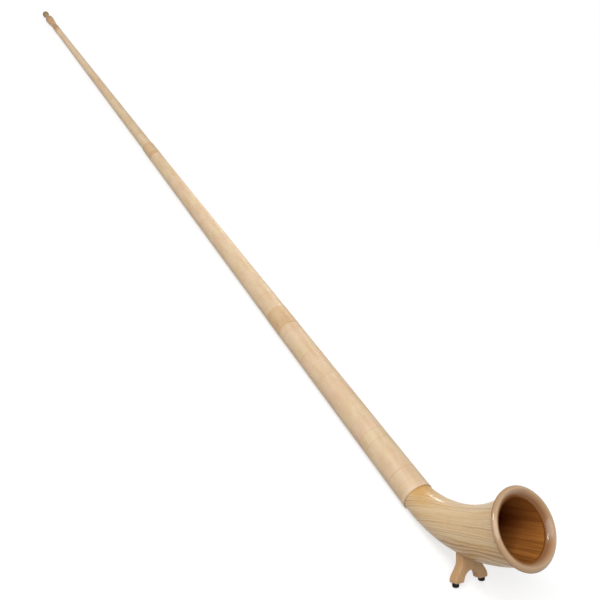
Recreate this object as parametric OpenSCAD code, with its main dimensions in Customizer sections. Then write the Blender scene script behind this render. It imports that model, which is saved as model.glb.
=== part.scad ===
// Alphorn in three sections with a rattan-wound tube, a curved spruce bell and a two-legged foot.
// Millimetres. The horn frame has its tube along X, the bell end of the winding at X = 0, and the
// bell bending up in the XZ plane. lay_down() turns it to the way it lies on a floor.

/* [Wound tube] */
// Length of the straight wound tube, from the receiver to the bell end of the winding
wound_len = 2868; // [2600:1:3000]
// Outer diameter of the winding at the receiver
wound_d_top = 24.5; // [24:0.1:28]
// Outer diameter of the winding at the bell end of the upper section
upper_d = 40.8; // [38:0.1:42]
// Outer diameter of the winding at the mouth end of the middle section
middle_d = 43.6; // [43:0.1:46]
// Outer diameter of the winding at the joint of the lower section
lower_d = 67; // [64:0.2:70]
// Outer diameter of the winding at the bell end
wound_d_bell = 82; // [76:0.2:86]
// Thickness of the rattan winding
cane_t = 2.4; // [1.6:0.1:2.8]
// Wall of the wooden tube under the winding
tube_wall = 5; // [4.6:0.1:5.2]
// Distance from the bell end of the winding to the joint of the lower section
lower_joint = 750; // [600:10:900]
// Distance from the bell end of the winding to the joint of the upper section
upper_joint = 1790; // [1600:10:2000]
// Length of the browner binding over each socket
binding_len = 80; // [70:1:120]
// How far that binding stands above the winding
binding_rise = 0.3; // [0.1:0.1:1]
// Width of the ring that ends the winding at the bell
end_ring_w = 12; // [6:1:14]
// How far that ring stands above the winding
end_ring_rise = 0.4; // [0.1:0.1:0.5]

/* [Section joints] */
// Length of brass spigot that enters the socket
spigot_len = 60; // [40:1:65]
// Length of spigot glued into the wood behind it
spigot_hold = 40; // [25:1:60]
// Wall of the brass spigot
spigot_wall = 1.8; // [1.6:0.1:2]
// Wall of the brass socket
socket_wall = 1.2; // [0.8:0.1:1.3]
// Thickness of the rubber seal's cord
seal_d = 1; // [0.8:0.1:1.2]
// Distance between the two seals of a spigot
seal_pitch = 24; // [10:1:30]

/* [Mouth end] */
// Length of the turned receiver, collar included
receiver_len = 156; // [140:1:175]
// Width of the receiver's collar
collar_w = 16; // [10:1:20]
// Largest diameter of the receiver's bulb
bulb_d = 33; // [29:0.5:36]
// Distance from the receiver's open end to the middle of its bulb
bulb_from_end = 14; // [12:1:24]
// Diameter of the receiver's waist
waist_d = 23.4; // [23:0.2:26]
// Distance from the collar to the receiver's waist
waist_from_collar = 46; // [40:1:60]
// Diameter of the receiver's open end
receiver_end_d = 23; // [20:0.5:26]
// Length of mouthpiece that stands out of the receiver
mouthpiece_out = 52; // [46:1:90]
// Length of mouthpiece shank inside the receiver
shank_len = 50; // [35:1:60]
// Diameter of the shank at the receiver's open end
shank_d = 14; // [12:0.5:16]
// Diameter of the shank's inner end
shank_tip_d = 12; // [11:0.5:12]
// Outer diameter of the mouthpiece's rim
cup_d = 27; // [24:0.5:30]
// Bore of the cup at the rim
cup_bore = 18; // [16:0.5:20]
// Depth of the cup
cup_depth = 15; // [12:1:20]
// Bore of the mouthpiece's throat
throat_d = 5; // [4:0.5:6]
// Bore of the receiver behind the shank
receiver_bore = 8.6; // [7:0.1:9.6]

/* [Bell] */
// Angle through which the bell bends
bend_angle = 56.6; // [52:0.1:61]
// Part of that angle that is bent sharply, right beside the winding
heel_angle = 7.5; // [1:0.5:12]
// Radius of the sharp bend at the centre of the bore
heel_r = 60; // [56:1:90]
// Radius of the long bend at the centre of the bore
bend_r = 362; // [346:1:380]
// Length from the end of the bend to the widest circle of the rim
bell_straight = 35; // [26:1:60]
// Outer diameter that the bell's outline aims at in the plane of the rim's widest circle
bell_d = 164; // [158:0.5:170]
// How the bell's outline widens, where 1 is an even cone
bell_flare = 1.17; // [1:0.01:1.5]
// Wall of the bell at its mouth
mouth_wall = 12; // [9:0.5:14]
// Length of bell that lies under the winding
bell_tail = 15; // [15:1:30]

/* [Rim] */
// Outer diameter of the rim
rim_d = 187; // [182:1:192]
// Length of the rim along the bell
rim_len = 19; // [17:1:24]
// Distance from the back of the rim to its widest circle
rim_widest = 11; // [10:0.5:13]
// Bore of the rim's throat
rim_throat = 137; // [130:1:142]

/* [Foot] */
// Slope of the tube when the horn stands on its foot to be played
play_angle = 34.7; // [30:0.1:40]
// Height of the bell's underside above the floor when it is played
foot_clearance = 66; // [65:0.5:72]
// Thickness of the bracket
bracket_t = 22; // [18:1:28]
// Half the distance between the middles of the two rubber feet
foot_half_gap = 41; // [38:1:46]
// Half the width of the bracket at its waist, just under the bell
bracket_waist = 31; // [28:1:35]
// Half the width of the bracket at its paws
bracket_paw = 51; // [49:1:55]
// Half the width of the arch between the legs
arch_half = 23.5; // [20:0.5:24]
// Height of the arch above the underside of the paws
arch_h = 25; // [20:1:26]
// Diameter of a rubber foot
rubber_d = 16; // [14:1:18]
// Height of a rubber foot
rubber_h = 10; // [9:0.5:13]
// Diameter of the dowels between the bracket and the bell
dowel_d = 8; // [6:1:8]
// Half the distance between the two dowels
dowel_half_gap = 18; // [14:1:20]
// Depth of a dowel in the bell's wall
dowel_in_bell = 5; // [3:0.5:6]
// Depth of a dowel in the bracket
dowel_in_bracket = 22; // [15:1:24]
// Diameter of the screws that hold the rubber feet
screw_d = 3.5; // [3:0.5:4]
// Length of those screws under the head
screw_len = 20; // [16:1:24]

/* [Hidden] */
$fn = 64;

// Clearances
glue_gap = 0.05;
running_gap = 0.05;
shoulder_gap = 0.2;
socket_spare = 2;
saddle_gap = 0.1;
eps = 0.01;

// Colours
beech = "#d9b08c";
spruce = "#ddbb88";
rattan = "#e2c49c";
brown_rattan = "#cfa677";
maple_brown = "#b98a55";
brass = "#c9a24a";
black_rubber = "#1c1c1c";
steel = "#a8acb0";
dark_bore_wood = "#c89a62";

// Each section of the wound tube, as [bell end, mouth end, diameter there, diameter there].
// u is a distance up the tube from the bell end of the winding.
LOWER = 0;
MIDDLE = 1;
UPPER = 2;
SECTIONS = [[0, lower_joint - shoulder_gap, wound_d_bell, lower_d],
            [lower_joint, upper_joint - shoulder_gap, lower_d, middle_d],
            [upper_joint, wound_len, upper_d, wound_d_top]];
function end_u(k, i) = SECTIONS[k][i];
function wound_r(k, u) = let (s = SECTIONS[k])
    (s[2] + (s[3] - s[2]) * (u - s[0]) / (s[1] - s[0])) / 2;
function wood_r(k, u) = wound_r(k, u) - cane_t;
function bore_r(k, u) = wood_r(k, u) - tube_wall;

// The receiver's places along the tube, as distances up the tube
receiver_u = wound_len + receiver_len;
bulb_u = receiver_u - bulb_from_end;
mouth_u = receiver_u + mouthpiece_out;
tenon_len = 30;
cup_edge = 2.5;
cup_lip_r = cup_d / 2 - cup_edge;

// The bell's centre line: straight up to s = 0, a short sharp arc, a long arc, then straight again
heel_len = heel_r * heel_angle * PI / 180;
arc_len = heel_len + bend_r * (bend_angle - heel_angle) * PI / 180;
bell_len = arc_len + bell_straight;
wood_end = bell_len - rim_widest;
function degrees(s, r) = max(s, 0) / r * 180 / PI;
function heel_turn(s) = min(degrees(s, heel_r), heel_angle);
function turn(s) = heel_turn(s) + min(degrees(s - heel_len, bend_r), bend_angle - heel_angle);
function past(s) = max(s - arc_len, 0);
function line_x(s) = let (h = heel_turn(s))
    min(s, 0) + heel_r * sin(h) + bend_r * (sin(turn(s)) - sin(h)) + past(s) * cos(bend_angle);
function line_z(s) = let (h = heel_turn(s))
    heel_r * (1 - cos(h)) + bend_r * (cos(h) - cos(turn(s))) + past(s) * sin(bend_angle);

// The bell's outer radius and wall at a distance s along that line
bell_r0 = wood_r(LOWER, 0);
function along(s) = max(s, 0) / bell_len;
function bell_r(s) = s < 0 ? wood_r(LOWER, -s)
    : bell_r0 + (bell_d / 2 - bell_r0) * pow(along(s), bell_flare);
function bell_bore(s) = bell_r(s) - tube_wall - (mouth_wall - tube_wall) * along(s);

// The rim's outline, as [radius, distance from its back], from the throat round the lip and back
lip_r = rim_d / 2 - 8.5;
throat_x = 4;
shoulder_r = bell_r(wood_end) + 1.5;
groove_w = 1.2;
groove_x = rim_widest - groove_w;
groove_depth = 0.7;
lip_turn = rim_len - throat_x;
rim_slack = 1.6; // 1 is an ellipse's full round, 2 a straight line
function across(t) = pow(cos(t), rim_slack);
function up(t) = pow(sin(t), rim_slack);
RIM = concat(
    [[bell_bore(wood_end), 0]],
    [for (t = [0:15:90]) [lip_r - (lip_r - rim_throat / 2) * across(t), throat_x + lip_turn * up(t)]],
    [for (t = [75:-15:0]) [lip_r + (rim_d / 2 - lip_r) * across(t),
                           rim_widest + (rim_len - rim_widest) * up(t)]],
    [[rim_d / 2 - groove_depth, groove_x + groove_w / 2], [rim_d / 2, groove_x]],
    [for (t = [75:-25:0]) [shoulder_r + (rim_d / 2 - shoulder_r) * up(t), groove_x * (1 - across(t))]]);

// The foot stands square to the centre line where the tube's slope brings it upright
foot_s = heel_len + bend_r * (play_angle - heel_angle) * PI / 180;
foot_z0 = -(bell_r(foot_s) + foot_clearance);
rubber_round = 3;
bracket_h = foot_clearance - rubber_h;

// How the horn lies: on the rounded edges of its rubber feet and on the receiver's bulb.
// edge_x and edge_z are the middle of the rounding's circle, in the horn frame.
edge_local_x = -(rubber_d / 2 - rubber_round);
edge_x = line_x(foot_s) + edge_local_x * cos(play_angle) - (foot_z0 + rubber_round) * sin(play_angle);
edge_z = line_z(foot_s) + edge_local_x * sin(play_angle) + (foot_z0 + rubber_round) * cos(play_angle);
rise = edge_z + bulb_d / 2;
run = edge_x + bulb_u;
pitch = asin(rubber_round / sqrt(rise * rise + run * run)) - atan2(rise, run);
floor_z = -bulb_d / 2 * cos(pitch) - bulb_u * sin(pitch);
rim_x = line_x(wood_end) * cos(pitch) - line_z(wood_end) * sin(pitch);
front_x = rim_x + max([for (p = RIM) p[0] * sin(bend_angle + pitch) + p[1] * cos(bend_angle + pitch)]);
back_x = -mouth_u * cos(pitch) - cup_lip_r * sin(pitch);
mid_x = (front_x + back_x) / 2;

module lay_down() {
    translate([-mid_x, 0, -floor_z]) rotate([0, -pitch, 0]) children();
}

// Children with their axis on Z are laid along the tube, with Z = 0 at u and Z towards the mouth
module up_tube(u) {
    translate([-u, 0, 0]) rotate([0, -90, 0]) children();
}

// Children with their axis on Z are set on the bell's centre line at s, with Z towards the mouth
module on_line(s) {
    translate([line_x(s), 0, line_z(s)]) rotate([0, 90 - turn(s), 0]) children();
}

module at_foot() {
    translate([line_x(foot_s), 0, line_z(foot_s)]) rotate([0, -play_angle, 0])
        translate([0, 0, foot_z0]) children();
}

// A solid turned round the tube's axis, from points [radius, distance up the tube]
module turned(points, angle = 360) {
    up_tube(0) rotate_extrude(angle = angle) polygon(points);
}

// A sleeve of winding on section k, from u0 to u1
module sleeve(k, u0, u1, rise_by) {
    turned([[wood_r(k, u0) + glue_gap, u0], [wound_r(k, u0) + rise_by, u0],
            [wound_r(k, u1) + rise_by, u1], [wood_r(k, u1) + glue_gap, u1]]);
}

// The joint at the bell end of section k: the spigot has the section's own bore
function spigot_bore(k) = bore_r(k, end_u(k, 0));
function spigot_r(k) = spigot_bore(k) + spigot_wall;
function socket_bore(k) = spigot_r(k) + running_gap;
function socket_r(k) = socket_bore(k) + socket_wall;
socket_len = spigot_len + socket_spare;

// The outline of a section's wood, from its bell end inside the bore, up, and back outside.
// A step at an end is the counterbore for a spigot or a socket.
function spigot_step(k) = let (u = end_u(k, 0))
    [[spigot_r(k) + glue_gap, u], [spigot_r(k) + glue_gap, u + spigot_hold],
     [bore_r(k, u + spigot_hold), u + spigot_hold]];
function socket_step(k) = let (u = end_u(k, 1), r = socket_r(k + 1) + glue_gap)
    [[bore_r(k, u - socket_len), u - socket_len], [r, u - socket_len], [r, u], [wood_r(k, u), u]];
function tenon_step(k) = let (u = end_u(k, 1), r = wood_r(k, u))
    [[bore_r(k, u), u + tenon_len], [r, u + tenon_len], [r, u]];
LOWER_WOOD = concat([[bore_r(LOWER, bell_tail), bell_tail]], socket_step(LOWER),
                    [[wood_r(LOWER, bell_tail), bell_tail]]);
MIDDLE_WOOD = concat(spigot_step(MIDDLE), socket_step(MIDDLE),
                     [[wood_r(MIDDLE, end_u(MIDDLE, 0)), end_u(MIDDLE, 0)]]);
UPPER_WOOD = concat(spigot_step(UPPER), tenon_step(UPPER),
                    [[wood_r(UPPER, end_u(UPPER, 0)), end_u(UPPER, 0)]]);

// The left or right half of a section's wood, seen from the mouth end with the bell turned up
module left_half(points) {
    rotate([180, 0, 0]) turned(points, 180);
}

module right_half(points) {
    turned(points, 180);
}

// The places of the seals, as distances from the shoulder down the spigot
SEALS = [for (i = [0, 1]) (spigot_len - seal_pitch) / 2 + i * seal_pitch];

module spigot(k) {
    u = end_u(k, 0);
    half_groove = seal_d * 0.8;
    groove_r = spigot_r(k) - seal_d - running_gap;
    turned(concat(
        [[spigot_bore(k), u - spigot_len], [spigot_r(k), u - spigot_len]],
        [for (d = [SEALS[1], SEALS[0]]) each [
            [spigot_r(k), u - d - half_groove], [groove_r, u - d - half_groove],
            [groove_r, u - d + half_groove], [spigot_r(k), u - d + half_groove]]],
        [[spigot_r(k), u + spigot_hold], [spigot_bore(k), u + spigot_hold]]));
}

module seals(k) {
    seal_middle = spigot_r(k) - seal_d / 2 + running_gap / 2;
    for (d = SEALS)
        up_tube(end_u(k, 0) - d) rotate_extrude() translate([seal_middle, 0]) circle(d = seal_d, $fn = 24);
}

// The brass lining of the section's mouth end, for the spigot of section k + 1
module socket(k) {
    u = end_u(k, 1);
    inner = socket_bore(k + 1);
    outer = socket_r(k + 1);
    turned([[inner, u - socket_len], [outer, u - socket_len], [outer, u], [inner, u]]);
}

// Mouthpiece: a cup on a neck, and a tapered shank. Radii against distance from the shank's tip.
neck_r = 7.6;
function shank_r(x) = (shank_tip_d + (shank_d - shank_tip_d) * x / shank_len) / 2;
mouthpiece_len = shank_len + mouthpiece_out;
cup_len = 26;
cup_swell = 16;
bead_x = shank_len + 5;
module mouthpiece_shape() {
    cup_x = mouthpiece_len - cup_len;
    rotate_extrude() polygon(concat(
        [[throat_d / 2 + 1, 0], [shank_r(0), 0], [shank_r(shank_len), shank_len]],
        [for (t = [90:-30:-60]) [neck_r + 1 * cos(t), bead_x - 3 * sin(t)]],
        [for (t = [0:0.125:1]) [neck_r + (cup_d / 2 - neck_r) * (1 - cos(180 * t)) / 2,
                                cup_x + cup_swell * t]],
        [[cup_d / 2, mouthpiece_len - 5]],
        [for (t = [20:35:90]) [cup_lip_r + cup_edge * cos(t), mouthpiece_len - 5 + 5 * sin(t)]],
        [[cup_bore / 2 + 0.8, mouthpiece_len]],
        [for (t = [0:15:75]) [throat_d / 2 + (cup_bore / 2 - throat_d / 2) * cos(t),
                              mouthpiece_len - 1 - cup_depth * sin(t)]],
        [[throat_d / 2, mouthpiece_len - 4 - cup_depth]]));
}

module mouthpiece() {
    color(maple_brown) lay_down() up_tube(receiver_u - shank_len) mouthpiece_shape();
}

// Receiver: radii against distance from its collar, towards the mouthpiece
module receiver_shape() {
    len = receiver_len - collar_w;
    bulb = len - bulb_from_end;
    bead = 1.2;
    bead_half = 7;
    rotate_extrude() polygon(concat(
        [[wood_r(UPPER, wound_len) + glue_gap, 0], [waist_d / 2, 0]],
        [for (middle = [9, 31], t = [-90:30:90]) [waist_d / 2 + bead * cos(t), middle + bead_half * t / 90]],
        [for (t = [0:0.125:1]) [waist_d / 2 + (bulb_d - waist_d) / 2 * (1 - cos(180 * t)) / 2,
                                waist_from_collar + (bulb - waist_from_collar) * t]],
        [for (t = [20:20:80]) [receiver_end_d / 2 + (bulb_d - receiver_end_d) / 2 * cos(t),
                               bulb + bulb_from_end * sin(t)]],
        [[receiver_end_d / 2, len], [shank_r(shank_len) + running_gap, len],
         [shank_r(-socket_spare) + running_gap, len - shank_len - socket_spare],
         [receiver_bore / 2, len - shank_len - socket_spare],
         [receiver_bore / 2, tenon_len - collar_w],
         [wood_r(UPPER, wound_len) + glue_gap, tenon_len - collar_w]]));
}

module receiver() {
    color(maple_brown) lay_down() up_tube(wound_len + collar_w) receiver_shape();
}

module receiver_collar() {
    inner = wood_r(UPPER, wound_len) + glue_gap;
    r = waist_d / 2 + 1.4;
    half = collar_w / 2;
    color(maple_brown) lay_down() up_tube(wound_len) rotate_extrude() polygon([[inner, 0], [r - 1, 0],
        [r, 1], [r, half - 1], [r - 0.8, half], [r, half + 1], [r, collar_w - 1], [r - 1, collar_w],
        [inner, collar_w]]);
}

module upper_tube_left() {
    color(dark_bore_wood) lay_down() left_half(UPPER_WOOD);
}

module upper_tube_right() {
    color(dark_bore_wood) lay_down() right_half(UPPER_WOOD);
}

module upper_winding() {
    color(rattan) lay_down() sleeve(UPPER, upper_joint, wound_len, 0);
}

module upper_spigot() {
    color(brass) lay_down() spigot(UPPER);
}

module upper_joint_seals() {
    color(black_rubber) lay_down() seals(UPPER);
}

module upper_socket() {
    color(brass) lay_down() socket(MIDDLE);
}

// The binding over a section's socket, and the winding from there to the section's other end
module socket_binding(k) {
    sleeve(k, end_u(k, 1) - binding_len, end_u(k, 1), binding_rise);
}

module upper_socket_binding() {
    color(brown_rattan) lay_down() socket_binding(MIDDLE);
}

module middle_tube_left() {
    color(dark_bore_wood) lay_down() left_half(MIDDLE_WOOD);
}

module middle_tube_right() {
    color(dark_bore_wood) lay_down() right_half(MIDDLE_WOOD);
}

module middle_winding() {
    color(rattan) lay_down() sleeve(MIDDLE, lower_joint, end_u(MIDDLE, 1) - binding_len, 0);
}

module lower_spigot() {
    color(brass) lay_down() spigot(MIDDLE);
}

module lower_joint_seals() {
    color(black_rubber) lay_down() seals(MIDDLE);
}

module lower_socket() {
    color(brass) lay_down() socket(LOWER);
}

module lower_socket_binding() {
    color(brown_rattan) lay_down() socket_binding(LOWER);
}

module lower_tube_left() {
    color(dark_bore_wood) lay_down() left_half(LOWER_WOOD);
}

module lower_tube_right() {
    color(dark_bore_wood) lay_down() right_half(LOWER_WOOD);
}

module lower_winding() {
    color(rattan) lay_down() sleeve(LOWER, end_ring_w, end_u(LOWER, 1) - binding_len, 0);
}

module winding_end_ring() {
    inner = wood_r(LOWER, 0) + glue_gap;
    r = wound_r(LOWER, 0) + end_ring_rise;
    edge = 1.5;
    color(rattan) lay_down() turned(concat([[inner, 0]],
        [for (t = [0:30:90]) [r - edge + edge * sin(t), edge - edge * cos(t)]],
        [[r, end_ring_w - 0.5], [r - 0.5, end_ring_w], [inner, end_ring_w]]));
}

// The left half of the bell: rings of a half circle carried along the centre line, outside and in
bell_rings = 34;
bell_sides = 24;
function station(i) = i == 0 ? -bell_tail : wood_end * (i - 1) / (bell_rings - 1);
function on_ring(s, r, t) =
    [line_x(s) - sin(turn(s)) * r * sin(t), r * cos(t), line_z(s) + cos(turn(s)) * r * sin(t)];
function skin(inside) = [for (i = [0:bell_rings], j = [0:bell_sides])
    on_ring(station(i), inside ? bell_bore(station(i)) : bell_r(station(i)), 180 * j / bell_sides - 90)];
module bell_half() {
    row = bell_sides + 1;
    inner = row * (bell_rings + 1);
    outer_faces = [for (i = [0:bell_rings - 1], j = [0:bell_sides - 1], k = [0, 1])
        k == 0 ? [row * i + j, row * i + j + 1, row * (i + 1) + j + 1]
               : [row * i + j, row * (i + 1) + j + 1, row * (i + 1) + j]];
    inner_faces = [for (f = outer_faces) [inner + f[2], inner + f[1], inner + f[0]]];
    seam_faces = [for (i = [0:bell_rings - 1], j = [0, bell_sides], k = [0, 1])
        let (a = row * i + j, b = row * (i + 1) + j,
             f = k == 0 ? [a, b, inner + b] : [a, inner + b, inner + a])
        j == 0 ? f : [f[2], f[1], f[0]]];
    end_faces = [for (i = [0, bell_rings], j = [0:bell_sides - 1], k = [0, 1])
        let (a = row * i + j, b = a + 1, f = k == 0 ? [a, inner + a, inner + b] : [a, inner + b, b])
        i == 0 ? f : [f[2], f[1], f[0]]];
    polyhedron(points = concat(skin(false), skin(true)),
               faces = concat(outer_faces, inner_faces, seam_faces, end_faces));
}

// A dowel's place in the foot frame, by side, from the depth in the bracket to the depth in the bell
dowel_top = foot_clearance + bell_r(foot_s) - sqrt(pow(bell_r(foot_s), 2) - pow(dowel_half_gap, 2));
module dowel(side, r, spare) {
    translate([0, side * dowel_half_gap, dowel_top - dowel_in_bracket - spare])
        cylinder(h = dowel_in_bracket + dowel_in_bell + 2 * spare, r = r);
}

module dowel_holes() {
    at_foot() for (side = [-1, 1]) dowel(side, dowel_d / 2 + glue_gap, 0.3);
}

module bell_left() {
    color(spruce) lay_down() difference() {
        bell_half();
        dowel_holes();
    }
}

module bell_right() {
    color(spruce) lay_down() difference() {
        mirror([0, 1, 0]) bell_half();
        dowel_holes();
    }
}

module bell_rim() {
    color(beech) lay_down() on_line(wood_end) rotate_extrude($fn = 96) polygon(RIM);
}

// The bracket's outline, half of it, from the middle of the arch round the paw to the top
paw_round = 4;
paw_z = rubber_h;
curve_z0 = paw_z + paw_round;
curve_z1 = bracket_h;
top_z = foot_clearance + 20;
function leg_w(z) = let (t = min(1, (z - curve_z0) / (curve_z1 - curve_z0)))
    bracket_waist + (bracket_paw - bracket_waist) * (1 + cos(180 * t)) / 2;
HALF = concat(
    [for (t = [90:-10:0]) [arch_half * cos(t), paw_z + arch_h * sin(t)]],
    [for (t = [-90:30:-30]) [bracket_paw - paw_round + paw_round * cos(t), curve_z0 + paw_round * sin(t)]],
    [for (i = [0:12]) let (z = curve_z0 + (curve_z1 - curve_z0) * i / 12) [leg_w(z), z]],
    [[bracket_waist, top_z]]);
module bracket_outline() {
    other = [for (i = [len(HALF) - 1:-1:1]) [-HALF[i][0], HALF[i][1]]];
    polygon(concat(HALF, other));
}

module foot_bracket() {
    half_t = bracket_t / 2;
    reach = half_t + 1;
    color(beech) lay_down() at_foot() difference() {
        translate([-half_t, 0, 0]) rotate([90, 0, 90]) linear_extrude(bracket_t) bracket_outline();
        translate([-reach, 0, -foot_z0]) rotate([0, 90, 0]) cylinder(h = 2 * reach,
            r1 = bell_r(foot_s - reach) + saddle_gap, r2 = bell_r(foot_s + reach) + saddle_gap, $fn = 96);
        for (side = [-1, 1]) {
            dowel(side, dowel_d / 2 + glue_gap, 0.3);
            translate([0, side * foot_half_gap, 0]) cylinder(h = paw_z + screw_len - head_seat + 1,
                r = screw_d / 2 + glue_gap);
        }
    }
}

module foot_dowels() {
    color(beech) lay_down() at_foot() for (side = [-1, 1]) dowel(side, dowel_d / 2, 0);
}

// Rubber foot: a round-edged disc with a sunk seat for its screw's head
head_seat = 4;
head_r = screw_d * 0.85;
module rubber_foot(side) {
    translate([0, side * foot_half_gap, 0]) difference() {
        rotate_extrude() polygon(concat([[0, 0]],
            [for (t = [0:15:90]) [rubber_d / 2 - rubber_round + rubber_round * sin(t),
                                  rubber_round * (1 - cos(t))]],
            [[rubber_d / 2, rubber_h], [0, rubber_h]]));
        translate([0, 0, -eps]) cylinder(h = head_seat + eps, r = head_r + 0.3);
        cylinder(h = rubber_h + 1, r = screw_d / 2 + glue_gap);
    }
}

module rubber_foot_left() {
    color(black_rubber) lay_down() at_foot() rubber_foot(1);
}

module rubber_foot_right() {
    color(black_rubber) lay_down() at_foot() rubber_foot(-1);
}

module screw() {
    head_h = 2;
    translate([0, 0, head_seat]) difference() {
        union() {
            translate([0, 0, -head_h]) cylinder(h = head_h, r1 = head_r - 0.6, r2 = head_r);
            cylinder(h = screw_len - 3, r = screw_d / 2);
            translate([0, 0, screw_len - 3]) cylinder(h = 3, r1 = screw_d / 2, r2 = 0.4);
        }
        for (a = [0, 90])
            rotate([0, 0, a]) translate([-head_r * 0.6, -0.4, -head_h - eps]) cube([head_r * 1.2, 0.8, 1]);
    }
}

module foot_screws() {
    color(steel) lay_down() at_foot() for (side = [-1, 1]) translate([0, side * foot_half_gap, 0]) screw();
}

mouthpiece();
receiver();
receiver_collar();
upper_tube_left();
upper_tube_right();
upper_winding();
upper_spigot();
upper_joint_seals();
upper_socket();
upper_socket_binding();
middle_tube_left();
middle_tube_right();
middle_winding();
lower_spigot();
lower_joint_seals();
lower_socket();
lower_socket_binding();
lower_tube_left();
lower_tube_right();
lower_winding();
winding_end_ring();
bell_left();
bell_right();
bell_rim();
foot_bracket();
foot_dowels();
rubber_foot_left();
rubber_foot_right();
foot_screws();

echo(pitch = pitch, floor_z = floor_z, mid_x = mid_x, front_x = front_x, back_x = back_x);
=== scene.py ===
"""The look of a long wooden horn: cane-wound tube, curved spruce bell, turned rim and mouth end.

Shapes are worked out in the horn's own frame, in millimetres: the tube lies along X with the bell
end of its winding at X = 0, the mouth end at negative X, and the bell bends up in the XZ plane.
laid() turns them to the way the horn lies on a floor, in metres.
"""

import bmesh
import bpy
import numpy as np
from mathutils import Matrix


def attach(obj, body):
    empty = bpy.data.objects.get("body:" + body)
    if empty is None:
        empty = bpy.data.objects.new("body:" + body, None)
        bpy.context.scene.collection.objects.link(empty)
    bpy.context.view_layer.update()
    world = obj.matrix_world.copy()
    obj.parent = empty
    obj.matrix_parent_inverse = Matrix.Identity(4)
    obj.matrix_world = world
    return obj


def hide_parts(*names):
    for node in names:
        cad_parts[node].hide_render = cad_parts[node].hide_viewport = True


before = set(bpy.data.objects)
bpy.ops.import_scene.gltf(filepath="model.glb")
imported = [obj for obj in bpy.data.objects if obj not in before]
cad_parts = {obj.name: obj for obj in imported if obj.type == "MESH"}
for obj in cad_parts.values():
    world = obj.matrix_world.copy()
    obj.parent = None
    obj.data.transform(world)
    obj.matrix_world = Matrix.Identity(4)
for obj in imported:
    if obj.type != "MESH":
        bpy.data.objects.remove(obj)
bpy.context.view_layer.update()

# Sizes, as the solids have them

# The tube's slope as the horn lies, the middle of the horn's length, and the floor
PITCH = np.radians(0.481941)
MID_X, FLOOR_Z = -1358.458, -41.8176

# Each section of the tube: its bell end, its mouth end, and the winding's diameter at both
SECTIONS = {"lower": (0, 749.8, 82, 67), "middle": (750, 1789.8, 67, 43.6),
            "upper": (1790, 2868, 40.8, 24.5)}
# The winding's thickness, the wooden tube's wall, and the gap that a line of glue fills
CANE_THICK, TUBE_WALL, GLUE = 2.4, 5, 0.05
# The browner bindings over the joints and the ring that ends the winding, and their rise over it
BINDING_LEN, BINDING_RISE, END_RING, END_RING_RISE = 80, 0.3, 12, 0.4
# The brass joints: how far a spigot stands out and how deep it sits, and its socket
SPIGOT_LEN, SPIGOT_HOLD, SPIGOT_WALL = 60, 40, 1.8
SOCKET_LEN, SOCKET_WALL, JOINT_FIT = 62, 1.2, 0.05
# The rubber rings down a spigot: how thick they are, how far they are sunk, and their grooves
SEAL_PLACES, SEAL_R, SEAL_SUNK, SEAL_GROOVE, SEAL_GROOVE_HALF = (42, 18), 0.5, 0.475, 1.05, 0.8
# The mouth end: the collar, the receiver with it, and the mouthpiece outside and inside it
COLLAR_W, RECEIVER_LEN, MOUTHPIECE_OUT, SHANK_LEN = 16, 156, 52, 50

# The bell's heel next to the tube, its bend and its straight end, and how the wood grows to it
HEEL_R, HEEL, BEND_R, BEND, BELL_STRAIGHT = 60, np.radians(7.5), 362, np.radians(56.6), 35
BELL_R, FLARE, MOUTH_WALL, BELL_TAIL = 82, 1.17, 12, 15
RIM_R, RIM_LEN, RIM_WIDEST, RIM_LIP, THROAT_R = 93.5, 19, 11, 8.5, 68.5

# The foot stands square to the floor while the horn is played, with its tube sloping by PLAY.
# Its widths are measured from the middle
PLAY = np.radians(34.7)
FOOT_HIGH, BRACKET_THICK, BRACKET_EDGE, FOOT_GAP, WAIST, PAW = 66, 22, 2.4, 41, 31, 51
ARCH_HALF, ARCH_H, ARCH_CORNER, PAW_CORNER = 23.5, 25, 3, 4
RUBBER_R, RUBBER_H, RUBBER_EDGE, SCREW_D, SCREW_HOLE_R, SCREW_SEAT = 8, 10, 3, 3.5, 1.8, 4

# A strip of cane in the windings and in the end ring, how deep the groove between two strips is,
# how much a strip falls from its middle to its edges, and how long one piece of cane is
STRIP, END_STRIP, STRIP_GROOVE, STRIP_CROWN, CANE_LENGTH = 2.5, 2.4, 0.34, 0.06, 5000


def laid(points):
    """Points of the horn frame in millimetres, turned by PITCH and set on the floor, in metres."""
    x, y, z = np.moveaxis(np.asarray(points, float), -1, 0)
    c, s = np.cos(PITCH), np.sin(PITCH)
    return np.stack([x * c - z * s - MID_X, y, x * s + z * c - FLOOR_Z], -1) / 1000


def cane_r(section, u):
    """The winding's outer radius at a distance u up the tube: a straight taper per section."""
    u0, u1, d0, d1 = SECTIONS[section]
    return (d0 + (d1 - d0) * (u - u0) / (u1 - u0)) / 2


# The bell's centre line: a short arc of HEEL_R through HEEL, a long one of BEND_R up to the angle
# BEND, then straight
HEEL_LEN = HEEL_R * HEEL
ARC = HEEL_LEN + BEND_R * (BEND - HEEL)
BELL_LEN = ARC + BELL_STRAIGHT
BELL_WOOD = BELL_LEN - RIM_WIDEST
BELL_R0 = cane_r("lower", 0) - CANE_THICK


def bell_line(s):
    """Points and slope of the bell's centre line at distances s from the end of the winding."""
    s = np.asarray(s, float)
    h = np.clip(s / HEEL_R, 0, HEEL)
    a = h + np.clip((s - HEEL_LEN) / BEND_R, 0, BEND - HEEL)
    past = np.maximum(s - ARC, 0)
    x = (np.minimum(s, 0) + HEEL_R * np.sin(h) + BEND_R * (np.sin(a) - np.sin(h))
         + past * np.cos(BEND))
    z = HEEL_R * (1 - np.cos(h)) + BEND_R * (np.cos(h) - np.cos(a)) + past * np.sin(BEND)
    return np.stack([x, 0 * s, z], -1), a


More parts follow.
